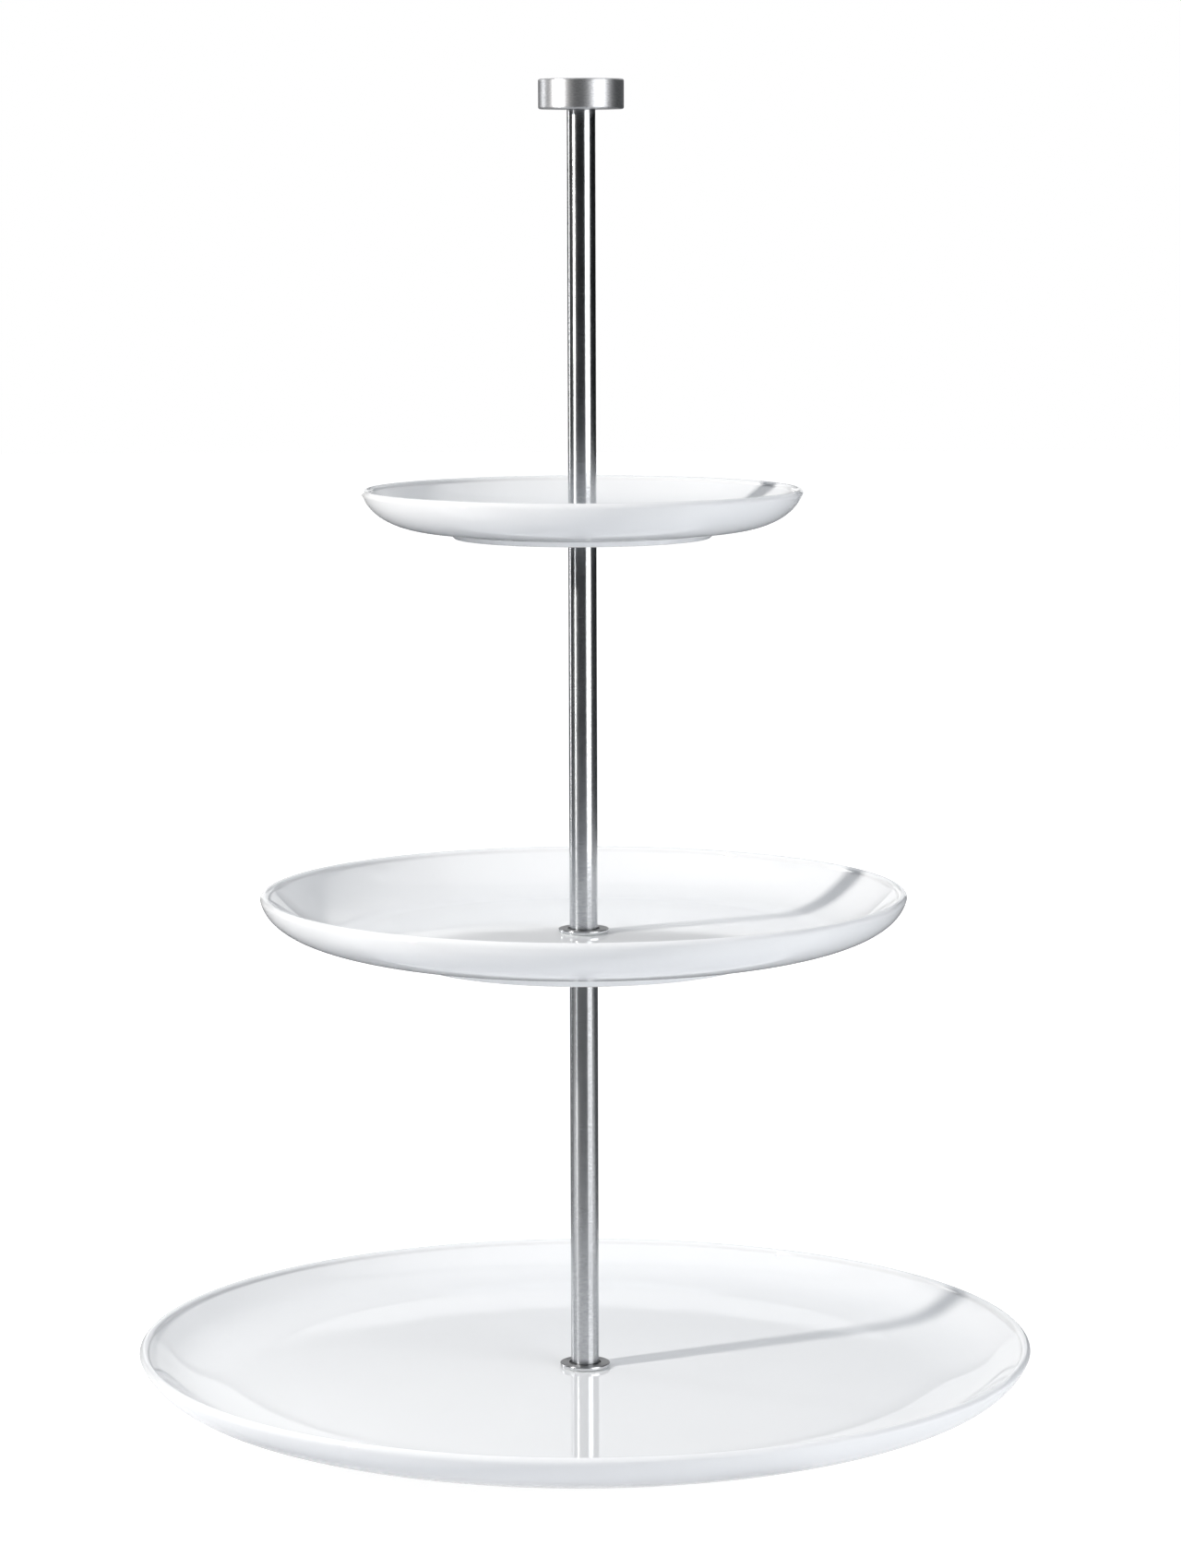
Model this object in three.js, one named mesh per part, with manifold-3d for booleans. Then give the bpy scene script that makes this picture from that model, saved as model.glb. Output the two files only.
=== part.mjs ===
// A three-tier cake stand: three round porcelain plates of falling size, threaded on one
// slim steel pole that screws together from three lengths of tube, with a flat knob on top.
//
// Millimetres, +Z up. The origin lies on the table, on the pole's axis, under the foot ring
// of the bottom plate. Every piece is a body of revolution about that axis.
//
// How the stack goes together, from the table up: a low screw comes up through a washer, a
// seal and the bottom plate into the lower tube. Each tube ends in a stud, which goes up
// through a support disc, a seal, the next plate, another seal and a flange disc into the
// next tube. The last stud carries the knob.

import * as THREE from "three";
import { mergeVertices } from "three/addons/utils/BufferGeometryUtils.js";
import Module from "manifold-3d";

const wasm = await Module();
wasm.setup();

// ---------------------------------------------------------------- driving dimensions

// Plates: the outermost radius of each.
const bottomPlateRadius = 160;
const middlePlateRadius = 115;
const topPlateRadius = 78;

// Thread: M6, drawn as plain cylinders.
const threadRadius = 3;
const threadEngagement = 10; // how far a stud or the screw reaches into the next tube
const threadTip = 0.8; // chamfer at the tip of each thread

// Plugs that are pressed into the tube ends: a threaded insert below, a stud above.
const insertWall = 0.75;
const insertSpare = 4; // threaded insert beyond the engaged length
const studPlugLength = 12;

// Pole: three lengths of steel tube, whose bore takes the insert.
const tubeWall = 1;
const tubeLength = { lower: 150, middle: 141, upper: 141 };
const tubeEdge = 0.3; // chamfer on each tube end

// Discs and seals between pole and plates.
const discLip = 4; // how far a disc stands out past the tube
const discThickness = 1.2;
const discEdge = 0.3;
const sealThickness = 0.5;
const sealSetback = 0.5; // a seal ends this far inside its disc's edge

// Fastening under the bottom plate.
const baseSealThickness = 0.8;
const washerRadius = 10;
const washerThickness = 1;
const washerEdge = 0.2;
const screwHeadRadius = 7;
const screwHeadHeight = 1.8;
const screwHeadEdge = 0.4;
const slotWidth = 1.6; // coin slot across the head
const slotDepth = 0.9;

// Knob: a flat turned disc with a blind thread.
const knobRadius = 15;
const knobEngagement = 7;
const knobCrown = 2.5; // metal left above the blind hole
const knobEdge = 0.5;

// Clearances.
const runningClearance = 0.2; // thread in its nut, or shank in a disc: radial
const pressedClearance = 0.05; // plug in its tube: radial
const plateHoleClearance = 1; // thread in a plate's hole: radial
const tipClearance = 1; // beyond the knob's stud in its blind hole

// Section of each plate, from the bottom one up, measured from its own foot ring.
//   rimRadius        outermost radius
//   overhang         from the foot ring's outer radius out to the rim
//   footWidth        width of the foot ring
//   footHeight       where the foot ring meets the underside, outside
//   recessDepth      hollow inside the foot ring
//   centreThickness  porcelain at the centre hole
//   wellDepth        floor to rim
//   coneRise         how much the underside climbs from the foot ring to the wall's start
//   wallRun          width of the curved wall, measured in from the rim
//   rimThickness     thickness of the rounded rim
const plateSizes = {
  bottom: {
    rimRadius: bottomPlateRadius,
    overhang: 46,
    footWidth: 4.5,
    footHeight: 3.2,
    recessDepth: 5.5,
    centreThickness: 6,
    wellDepth: 10.5,
    coneRise: 1.1,
    wallRun: 30,
    rimThickness: 3.2,
  },
  middle: {
    rimRadius: middlePlateRadius,
    overhang: 48,
    footWidth: 4,
    footHeight: 3.2,
    recessDepth: 3.6,
    centreThickness: 5.2,
    wellDepth: 15,
    coneRise: 3.7,
    wallRun: 22,
    rimThickness: 3.2,
  },
  top: {
    rimRadius: topPlateRadius,
    overhang: 30,
    footWidth: 3.6,
    footHeight: 2.6,
    recessDepth: 3.2,
    centreThickness: 3.8,
    wellDepth: 10.3,
    coneRise: 1.3,
    wallRun: 16,
    rimThickness: 3,
  },
};
const footCorner = 1; // rounding on the corners of a foot ring
const wellMargin = 2; // the flat floor ends this far outside the foot ring

// Shape of a plate's wall: how long and how steep each end of its curve leaves.
const outerLead = 0.5;
const outerSlope = 0.22;
const rimLean = 0.1;
const rimLead = 0.45;
const innerLead = 0.5;
const innerLean = 0.04;

// Facets.
const plateSegments = 48;
const smallSegments = 24;
const wallSteps = 6;
const rimSteps = 4;

// ---------------------------------------------------------------- derived sizes

const nutRadius = threadRadius + runningClearance;
const plugRadius = nutRadius + insertWall;
const boreRadius = plugRadius + pressedClearance;
const tubeRadius = boreRadius + tubeWall;
const plateHoleRadius = threadRadius + plateHoleClearance;
const discRadius = tubeRadius + discLip;
const sealRadius = discRadius - sealSetback;
const insertLength = threadEngagement + insertSpare;
const knobHoleDepth = knobEngagement + tipClearance;
const knobHeight = knobHoleDepth + knobCrown;

// Each tier's levels, worked out up the stack. A tier is a plate, its seals and the tube
// that stands on it. The bottom plate's foot ring stands on the table, and each other plate
// rests on the support disc and seal at the top of the tube below.
const tiers = [];
for (const [plateName, tubeName] of [
  ["bottom", "lower"],
  ["middle", "middle"],
  ["top", "upper"],
]) {
  const plate = plateSizes[plateName];
  const below = tiers.at(-1);
  const underside = below
    ? below.tubeTop + discThickness + sealThickness
    : plate.recessDepth;
  const foot = underside - plate.recessDepth;
  const floor = underside + plate.centreThickness;
  const flange = floor + sealThickness;
  const tubeFoot = flange + discThickness;
  const tubeTop = tubeFoot + tubeLength[tubeName];
  tiers.push({ plateName, tubeName, plate, foot, underside, floor, flange, tubeFoot, tubeTop });
}
const bottomTier = tiers[0];
const topTier = tiers.at(-1);

// ---------------------------------------------------------------- materials

const finishes = {
  porcelain: { color: 0xf4f5f6, roughness: 0.12, metalness: 0 },
  steel: { color: 0xb9bcc0, roughness: 0.25, metalness: 1 },
  brushedSteel: { color: 0xc3c5c8, roughness: 0.35, metalness: 1 },
  silicone: { color: 0xdfe3e6, roughness: 0.5, metalness: 0 },
};

// ---------------------------------------------------------------- shape helpers

const point = (radius, height) => new THREE.Vector2(radius, height);

// Revolves an outline of radius and height about the Z axis.
function revolve(outline, segments = smallSegments) {
  return new THREE.LatheGeometry(outline, segments).rotateX(Math.PI / 2);
}

// A ring with its four edges chamfered. Its outline closes on itself.
function ring(inner, outer, low, high, edge = 0) {
  const cut = Math.min(edge, (outer - inner) / 3, (high - low) / 3);
  if (cut === 0) {
    const corners = [point(inner, low), point(outer, low), point(outer, high), point(inner, high)];
    return revolve([...corners, corners[0]]);
  }
  const outline = [
    point(inner + cut, low),
    point(outer - cut, low),
    point(outer, low + cut),
    point(outer, high - cut),
    point(outer - cut, high),
    point(inner + cut, high),
    point(inner, high - cut),
    point(inner, low + cut),
  ];
  return revolve([...outline, outline[0]]);
}

// A closed mesh as a solid that can be cut, and a solid as a mesh again.
function solidOf(geometry) {
  const bare = geometry.clone();
  bare.deleteAttribute("normal");
  bare.deleteAttribute("uv");
  const merged = mergeVertices(bare, 1e-4);
  return new wasm.Manifold(
    new wasm.Mesh({
      numProp: 3,
      vertProperties: merged.attributes.position.array,
      triVerts: new Uint32Array(merged.index.array),
    }),
  );
}

function geometryOf(solid) {
  const mesh = solid.getMesh();
  return new THREE.BufferGeometry()
    .setAttribute("position", new THREE.BufferAttribute(new Float32Array(mesh.vertProperties), 3))
    .setIndex(new THREE.BufferAttribute(new Uint32Array(mesh.triVerts), 1))
    .toNonIndexed();
}

// ---------------------------------------------------------------- plates

// The outline of a plate, from its hole out along the underside, round the rim and back
// along the floor. The wall is one cubic curve outside and one inside, joined by a round rim.
function plateOutline(plate, holeRadius) {
  const { rimRadius, footWidth, footHeight, recessDepth, coneRise, wallRun, rimThickness } = plate;
  const footOuter = rimRadius - plate.overhang;
  const footInner = footOuter - footWidth;
  const floor = recessDepth + plate.centreThickness;
  const rimRound = rimThickness / 2;
  const rimLevel = floor + plate.wellDepth - rimRound;
  const wellRadius = footOuter + wellMargin;
  const innerRadius = rimRadius - rimThickness;
  const innerRun = innerRadius - wellRadius;

  const wallStart = point(rimRadius - wallRun, footHeight + coneRise);
  const outerWall = new THREE.CubicBezierCurve(
    wallStart,
    point(wallStart.x + outerLead * wallRun, wallStart.y + outerLead * outerSlope * wallRun),
    point(rimRadius - rimLean * wallRun, rimLevel - rimLead * (rimLevel - wallStart.y)),
    point(rimRadius, rimLevel),
  );
  const rimCentre = rimRadius - rimRound;
  const rim = new THREE.EllipseCurve(rimCentre, rimLevel, rimRound, rimRound, 0, Math.PI);
  const innerWall = new THREE.CubicBezierCurve(
    point(innerRadius, rimLevel),
    point(innerRadius - innerLean * innerRun, rimLevel - rimLead * (rimLevel - floor)),
    point(wellRadius + innerLead * innerRun, floor),
    point(wellRadius, floor),
  );
  const outline = [
    point(holeRadius, recessDepth),
    point(footInner - footCorner, recessDepth),
    point(footInner, recessDepth - footCorner),
    point(footInner, footCorner),
    point(footInner + footCorner, 0),
    point(footOuter - footCorner, 0),
    point(footOuter, footCorner),
    point(footOuter, footHeight - footCorner),
    point(footOuter + footCorner, footHeight),
    ...outerWall.getPoints(wallSteps),
    ...rim.getPoints(rimSteps).slice(1),
    ...innerWall.getPoints(wallSteps).slice(1),
    point(holeRadius, floor),
  ];
  return [...outline, outline[0]];
}

// ---------------------------------------------------------------- turned metal pieces

// A plug in the top of a tube, with a thread that stands out above it.
function studGeometry(tubeTop, reach) {
  const tip = tubeTop + reach;
  return revolve([
    point(0, tubeTop - studPlugLength),
    point(plugRadius, tubeTop - studPlugLength),
    point(plugRadius, tubeTop),
    point(threadRadius, tubeTop),
    point(threadRadius, tip - threadTip),
    point(threadRadius - threadTip, tip),
    point(0, tip),
  ]);
}

// The low-headed screw under the bottom plate, with a coin slot across its head.
function screwGeometry() {
  const seat = bottomTier.underside - baseSealThickness - washerThickness;
  const low = seat - screwHeadHeight;
  const tip = bottomTier.tubeFoot + threadEngagement;
  const turned = revolve([
    point(0, low),
    point(screwHeadRadius - screwHeadEdge, low),
    point(screwHeadRadius, low + screwHeadEdge),
    point(screwHeadRadius, seat),
    point(threadRadius, seat),
    point(threadRadius, tip - threadTip),
    point(threadRadius - threadTip, tip),
    point(0, tip),
  ]);
  const slot = new THREE.BoxGeometry(3 * screwHeadRadius, slotWidth, 2 * slotDepth);
  slot.translate(0, 0, low);
  return geometryOf(solidOf(turned).subtract(solidOf(slot)));
}

// The knob, a flat disc with its edges broken and a blind thread from below.
function knobGeometry() {
  const low = topTier.tubeTop;
  const high = low + knobHeight;
  return revolve(
    [
      point(0, low + knobHoleDepth),
      point(nutRadius, low + knobHoleDepth),
      point(nutRadius, low),
      point(knobRadius - knobEdge, low),
      point(knobRadius, low + knobEdge),
      point(knobRadius, high - knobEdge),
      point(knobRadius - knobEdge, high),
      point(0, high),
    ],
    plateSegments,
  );
}

// ---------------------------------------------------------------- assembly

const stand = new THREE.Group();

function add(name, geometry, finish) {
  const material = new THREE.MeshStandardMaterial(finishes[finish]);
  const mesh = new THREE.Mesh(geometry, material);
  mesh.name = name;
  stand.add(mesh);
  return mesh;
}

const seal = (low, thickness = sealThickness) => ring(nutRadius, sealRadius, low, low + thickness);
const disc = (low) => ring(nutRadius, discRadius, low, low + discThickness, discEdge);

tiers.forEach((tier, i) => {
  const { plateName, tubeName, plate } = tier;
  const above = tiers[i + 1];

  const porcelain = revolve(plateOutline(plate, plateHoleRadius), plateSegments);
  add(`${plateName}_plate`, porcelain, "porcelain").position.z = tier.foot;
  add(`${plateName}_plate_upper_seal`, seal(tier.floor), "silicone");

  add(`${tubeName}_flange`, disc(tier.flange), "steel");
  const tube = ring(boreRadius, tubeRadius, tier.tubeFoot, tier.tubeTop, tubeEdge);
  add(`${tubeName}_tube`, tube, "brushedSteel");
  const insert = ring(nutRadius, plugRadius, tier.tubeFoot, tier.tubeFoot + insertLength);
  add(`${tubeName}_threaded_insert`, insert, "steel");

  const reach = above ? above.tubeFoot + threadEngagement - tier.tubeTop : knobEngagement;
  add(`${tubeName}_stud`, studGeometry(tier.tubeTop, reach), "steel");
  if (above) {
    add(`${above.plateName}_support_disc`, disc(tier.tubeTop), "steel");
    add(`${above.plateName}_plate_lower_seal`, seal(tier.tubeTop + discThickness), "silicone");
  }
});

const baseSealLow = bottomTier.underside - baseSealThickness;
const washerLow = baseSealLow - washerThickness;
add("bottom_plate_lower_seal", seal(baseSealLow, baseSealThickness), "silicone");
add("base_washer", ring(nutRadius, washerRadius, washerLow, baseSealLow, washerEdge), "steel");
add("base_screw", screwGeometry(), "steel");
add("knob", knobGeometry(), "brushedSteel");

export default stand;
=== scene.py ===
# %% [markdown]
# # A cake stand of three porcelain plates on a steel pole
#
# The real stand comes apart by hand. Three glazed plates of falling size are threaded on a
# slim pole, which is three lengths of steel tube with a thread between each pair, and a flat
# turned knob closes the top. The engineering model already says where every piece is, so this
# lesson never places anything by eye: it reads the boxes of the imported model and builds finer
# skins, finishes, lights and a camera round them.

import math

import bpy
import numpy as np
from mathutils import Matrix, Vector


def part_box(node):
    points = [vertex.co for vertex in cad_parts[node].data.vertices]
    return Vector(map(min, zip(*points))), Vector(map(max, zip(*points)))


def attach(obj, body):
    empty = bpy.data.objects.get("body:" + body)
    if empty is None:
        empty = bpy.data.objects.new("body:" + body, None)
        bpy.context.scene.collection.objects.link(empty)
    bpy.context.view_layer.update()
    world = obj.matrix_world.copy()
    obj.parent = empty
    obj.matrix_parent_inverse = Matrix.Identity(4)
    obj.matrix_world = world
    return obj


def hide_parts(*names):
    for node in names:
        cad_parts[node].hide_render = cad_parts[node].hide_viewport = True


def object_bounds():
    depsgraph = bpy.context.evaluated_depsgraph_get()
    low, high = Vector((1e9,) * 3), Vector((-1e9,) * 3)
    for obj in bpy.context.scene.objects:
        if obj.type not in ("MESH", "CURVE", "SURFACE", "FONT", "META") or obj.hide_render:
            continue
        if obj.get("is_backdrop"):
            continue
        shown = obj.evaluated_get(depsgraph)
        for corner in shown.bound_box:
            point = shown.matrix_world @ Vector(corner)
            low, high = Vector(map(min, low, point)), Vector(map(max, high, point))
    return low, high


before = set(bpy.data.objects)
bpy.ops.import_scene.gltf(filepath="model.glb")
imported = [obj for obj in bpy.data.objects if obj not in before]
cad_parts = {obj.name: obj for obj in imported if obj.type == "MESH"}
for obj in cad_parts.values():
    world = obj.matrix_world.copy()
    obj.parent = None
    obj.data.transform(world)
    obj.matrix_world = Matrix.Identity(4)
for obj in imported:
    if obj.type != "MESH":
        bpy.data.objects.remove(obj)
cad_low, cad_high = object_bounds()
MM, MICRON = 1e-3, 1e-6
print("frame", [round(size / MM, 1) for size in cad_high - cad_low], "mm")

# %% [markdown]
# ## The camera
#
# A product shot of a tall, slim thing is taken from far away with a long lens, a little above
# it, so that the bottom plate shows its floor and the knob shows only its side. The camera
# comes first, because it decides which surfaces need the finest work. It looks along +Y, down
# by a few degrees, and leans by a hair.

# %% Make the camera
CAMERA_BACK = 1.626
CAMERA_HEIGHT = 0.4337
CAMERA_DOWN = 0.1285
CAMERA_TURN = -0.00159
CAMERA_LEAN = -0.0031
LENS_MM = 105.9
SENSOR_MM = 36.0

scene = bpy.context.scene
scene.view_settings.view_transform = "Standard"

camera_data = bpy.data.cameras.new("camera")
camera_data.lens = LENS_MM
camera_data.sensor_width = SENSOR_MM
camera_data.clip_start = 0.05
camera_data.clip_end = 50
camera = bpy.data.objects.new("camera", camera_data)
camera.location = (0, -CAMERA_BACK, CAMERA_HEIGHT)
camera.rotation_euler = (
    Matrix.Rotation(CAMERA_TURN, 3, "Z")
    @ Matrix.Rotation(math.pi / 2 - CAMERA_DOWN, 3, "X")
    @ Matrix.Rotation(CAMERA_LEAN, 3, "Z")
).to_euler()
scene.collection.objects.link(camera)
scene.camera = camera
print("camera", tuple(camera.location), "lens", LENS_MM)

# %% [markdown]
# ## Turned shapes
#
# Everything here was made on a wheel or a lathe, so one tool makes every piece: a surface of
# revolution. Its two parameters are the turn about the pole's axis and the place along an
# outline, and numpy works out the whole grid at once. Blender's Screw or Spin could do the
# same, but their poles and seams have to be cleaned up afterwards; here a point on the axis
# becomes a single vertex, and the last strip of faces closes onto the first.

# %% A mesh from numpy arrays
FINE, SMALL = 256, 128
ON_AXIS = 1e-9


def make_piece(name, points, faces, body, replaced, sharp_deg=None):
    """A named object from an (n, 3) array of points and a list of faces, smooth shaded.
    It rides on its body and stands for the CAD nodes given, which it hides."""
    mesh = bpy.data.meshes.new(name)
    mesh.from_pydata(points.tolist(), [], faces)
    mesh.validate()
    mesh.polygons.foreach_set("use_smooth", np.ones(len(mesh.polygons), bool))
    if sharp_deg is not None:
        mesh.set_sharp_from_angle(angle=math.radians(sharp_deg))
    mesh.update()
    piece = bpy.data.objects.new(name, mesh)
    scene.collection.objects.link(piece)
    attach(piece, body)
    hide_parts(*replaced)
    print(name, len(mesh.vertices), "vertices on", body)
    return piece


def turned_grid(outline, turn):
    """Points and faces of a surface of revolution about the Z axis.
    Point (i, j) = (r_j cos t_i, r_j sin t_i, z_j) for the turn t_i and the outline (r_j, z_j).
    The outline runs counter-clockwise with the radius to the right, so faces look outwards.
    One that starts on the axis ends on the axis; any other closes on itself."""
    radius, height = np.asarray(outline, float).T
    rows, columns = len(turn), len(radius)
    on_axis = radius < ON_AXIS
    owner = np.where(on_axis[None, :], 0, np.arange(rows)[:, None])
    number = owner * columns + np.arange(columns)[None, :]
    used, index = np.unique(number, return_inverse=True)
    index = index.reshape(rows, columns)
    x, y = np.outer(np.cos(turn), radius), np.outer(np.sin(turn), radius)
    grid = np.stack([x, y, np.broadcast_to(height, (rows, columns))], -1)
    points = grid.reshape(-1, 3)[used]
    after = np.roll(index, -1, 0)
    last = columns - 1 if on_axis.any() else columns
    here = np.arange(last)
    ahead = (here + 1) % columns
    quads = np.stack([index[:, here], after[:, here], after[:, ahead], index[:, ahead]], -1)
    starts, ends = on_axis[here], on_axis[ahead]
    body = quads[:, ~(starts | ends)].reshape(-1, 4)
    first_fan = quads[:, starts][..., [0, 2, 3]].reshape(-1, 3)
    last_fan = quads[:, ends][..., [0, 1, 2]].reshape(-1, 3)
    return points, [*body.tolist(), *first_fan.tolist(), *last_fan.tolist()]


def even_turn(segments):
    """Angles of one full turn, evenly spaced, in radians."""
    return 2 * np.pi * np.arange(segments) / segments


print("turned shapes use", SMALL, "or", FINE, "steps round the axis")

# %% [markdown]
# ## Broken edges
#
# No real edge is perfectly sharp, and the thin bright line along an edge is what makes metal
# look like metal. A Bevel modifier would round the edges too, but on a turned piece it is
# simpler to round the outline before it is turned. Each corner becomes an arc, with a holding
# point on the flat at either side, so that smooth shading keeps the flats flat.

# %% Round the corners of an outline
ARC_STEPS = 4
HOLD = 0.35
STRAIGHT = 0.999999


def unit(vectors):
    """Each row divided by its own length."""
    return vectors / np.linalg.norm(vectors, axis=-1, keepdims=True)


def rounded(before, tips, after, radii):
    """The points of an arc at each tip, between the points before and after it.
    The arc leaves each side at radius / tan(half the corner), and swings round its centre by
    the spherical mix of the two end spokes; holding points lie just outside it."""
    back, on = unit(before - tips), unit(after - tips)
    half = np.arccos(np.clip((back * on).sum(-1), -STRAIGHT, STRAIGHT)) / 2
    radii = np.broadcast_to(radii, half.shape)
    reach = (radii / np.tan(half))[:, None]
    centre = tips + unit(back + on) * (radii / np.sin(half))[:, None]
    first, final = tips + back * reach - centre, tips + on * reach - centre
    sweep = (np.pi - 2 * half)[:, None, None]
    share = np.linspace(0, 1, ARC_STEPS + 1)[None, :, None]
    swung = np.sin((1 - share) * sweep) * first[:, None] + np.sin(share * sweep) * final[:, None]
    arc = centre[:, None] + swung / np.sin(sweep)
    lead = (tips + back * reach * (1 + HOLD))[:, None]
    tail = (tips + on * reach * (1 + HOLD))[:, None]
    return np.concatenate([lead, arc, tail], 1).reshape(-1, 2)


def closed_outline(corners, radii):
    """A ring's outline: every corner rounded."""
    tips = np.asarray(corners, float)
    return rounded(np.roll(tips, 1, 0), tips, np.roll(tips, -1, 0), radii)


def solid_outline(corners, radii):
    """The outline of a piece with metal on the axis: its two ends stay on the axis."""
    ends = np.asarray(corners, float)
    arcs = rounded(ends[:-2], ends[1:-1], ends[2:], radii)
    return np.concatenate([ends[:1], arcs, ends[-1:]])


print("each corner takes", ARC_STEPS + 3, "points")

# %% [markdown]
# ## Plates
#
# A plate is thrown or pressed in one go: a foot ring below, a shallow cone out to the wall,
# a wall that curls up, a rounded rim, and a nearly flat floor inside. In section that is two
# cubic Bezier curves joined by a half circle. The foot ring tapers, and a small crease above
# it takes the shadow line. The engineering model uses the same curves in a few coarse steps;
# here they are sampled finely, so that the glaze reflects without facets.

# %% The outline of a plate
OUTER_STEPS, INNER_STEPS, RIM_STEPS = 30, 40, 14
FLOOR_RINGS = 10
FOOT_TAPER = 2.4 * MM
CREASE_DROP, CREASE_DEPTH = 0.5 * MM, 0.45 * MM
FOOT_ROUNDS = np.array([0.3, 1.2, 0.9, 0.9, 0.3, 0.2]) * MM
PLATE_HOLE, HOLE_ROUND, HOLE_CLEAR = 4.0 * MM, 0.3 * MM, 1.0 * MM
OUTER_LEAD, INNER_LEAN = 0.5, 0.25


def bezier(start, first, second, end, steps):
    """Cubic Bezier: the sum of the four points weighted (1-t)^3, 3t(1-t)^2, 3t^2(1-t), t^3."""
    t = np.linspace(0, 1, steps + 1)[:, None]
    start, first, second, end = (np.asarray(p, float) for p in (start, first, second, end))
    return (
        (1 - t) ** 3 * start
        + 3 * t * (1 - t) ** 2 * first
        + 3 * t**2 * (1 - t) * second
        + t**3 * end
    )


def plate_outline(rim_radius, foot_z, sizes, bend, well_margin):
    """The section of one plate as (radius, height), from its hole out along the underside,
    up the outside of the wall, over the rim and back along the floor. The outer wall leaves
    the cone at the bend's slope; below the rim it leans in by lean times its run, and that
    lean takes up the share lead of its height."""
    overhang, foot_width, foot_height, recess, centre, depth, rise, run, rim = (
        size * MM for size in sizes
    )
    slope, lean, lead, well_lead = bend
    foot_outer = rim_radius - overhang
    foot_inner = foot_outer - foot_width
    floor = recess + centre
    rim_round = rim / 2
    rim_level = floor + depth - rim_round
    well = foot_outer + well_margin
    inner = rim_radius - rim
    wall_start = np.array([rim_radius - run, foot_height + rise])
    outer_wall = bezier(
        wall_start,
        wall_start + [OUTER_LEAD * run, OUTER_LEAD * slope * run],
        [rim_radius - lean * run, rim_level - lead * (rim_level - wall_start[1])],
        [rim_radius, rim_level],
        OUTER_STEPS,
    )
    inner_wall = bezier(
        [inner, rim_level],
        [inner - INNER_LEAN * (inner - well), rim_level - lead * (rim_level - floor)],
        [well + well_lead * (inner - well), floor],
        [well, floor],
        INNER_STEPS,
    )
    angle = np.linspace(0, np.pi, RIM_STEPS + 1)[1:-1]
    rim_curve = np.stack([np.cos(angle), np.sin(angle)], -1) * rim_round
    rim_curve += [rim_radius - rim_round, rim_level]
    corners = np.array(
        [
            [PLATE_HOLE, floor],
            [PLATE_HOLE, recess],
            [foot_inner, recess],
            [foot_inner - FOOT_TAPER, 0],
            [foot_outer - FOOT_TAPER, 0],
            [foot_outer, foot_height - CREASE_DROP],
            [foot_outer - CREASE_DEPTH, foot_height],
            wall_start,
        ]
    )
    foot = rounded(corners[:-2], corners[1:-1], corners[2:], FOOT_ROUNDS)
    reach = np.linspace(well, PLATE_HOLE + HOLE_CLEAR, FLOOR_RINGS)[1:]
    floor_rings = np.stack([reach, np.full_like(reach, floor)], -1)
    hole_edge = rounded(np.array([[well, floor]]), corners[:1], corners[1:2], HOLE_ROUND)
    outline = [foot, outer_wall, rim_curve, inner_wall, floor_rings, hole_edge]
    return np.concatenate(outline) + [0, foot_z]


print("a plate's outline takes", OUTER_STEPS, "steps up and", INNER_STEPS, "steps down")

# %% Turn the three plates
# overhang, foot width, foot height, recess, centre, well depth, cone rise, wall run, rim
PLATE_SIZES = {
    "bottom": (46, 4.5, 3.0, 5.5, 6, 10.5, 0.9, 28, 3.2),
    "middle": (49.7, 4, 3.2, 3.6, 5.2, 15, 3.5, 24.5, 3.2),
    "top": (30.5, 3.6, 2.5, 3.2, 3.8, 10.3, 0.9, 18.5, 3),
}
# slope, lean and lead of the wall's bend, and how far the flat of the well runs on into it
PLATE_BEND = {
    "bottom": (0.30, 0.163, 0.634, 0.7),
    "middle": (0.196, 0.078, 0.542, 0.5),
    "top": (0.161, 0.129, 0.516, 0.5),
}
WELL_MARGIN = {"bottom": 4.0 * MM, "middle": 14.0 * MM, "top": 2.0 * MM}
PLATE_BODY = {"bottom": "base", "middle": "middle_plate", "top": "top_plate"}

plates = {}
for tier, sizes in PLATE_SIZES.items():
    low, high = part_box(f"{tier}_plate")
    outline = plate_outline(high.x, low.z, sizes, PLATE_BEND[tier], WELL_MARGIN[tier])
    points, faces = turned_grid(outline, even_turn(FINE))
    name, node, body = f"{tier}_plate_glazed", f"{tier}_plate", PLATE_BODY[tier]
    plates[tier] = make_piece(name, points, faces, body, [node])
    print(tier, "plate height", round((high.z - low.z) / MM, 2), "mm")

# %% [markdown]
# ## Tubes, discs and seals
#
# These are rings with four corners. Their outer radii and their levels come from the
# engineering model's boxes, and only the bores and the roundings are chosen here: a file has
# broken the tube ends, the discs have a softly rolled edge, and silicone is punched, so it is
# crisper. Each flange also has a narrow relief groove round the foot of its tube. It is real
# geometry, because the dark ring that it makes has to stay in the exported meshes.

# %% Rings read from the model
THREAD_PASS = 3.2 * MM
TUBE_BORE = 4.0 * MM
TUBE_EDGE, DISC_EDGE, WASHER_EDGE, SEAL_EDGE = 0.22 * MM, 0.3 * MM, 0.22 * MM, 0.12 * MM
RELIEF_WIDTH, RELIEF_DEPTH = 0.8 * MM, 0.6 * MM
RELIEF_DRAFT, RELIEF_EDGE = 0.06 * MM, 0.05 * MM


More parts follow.
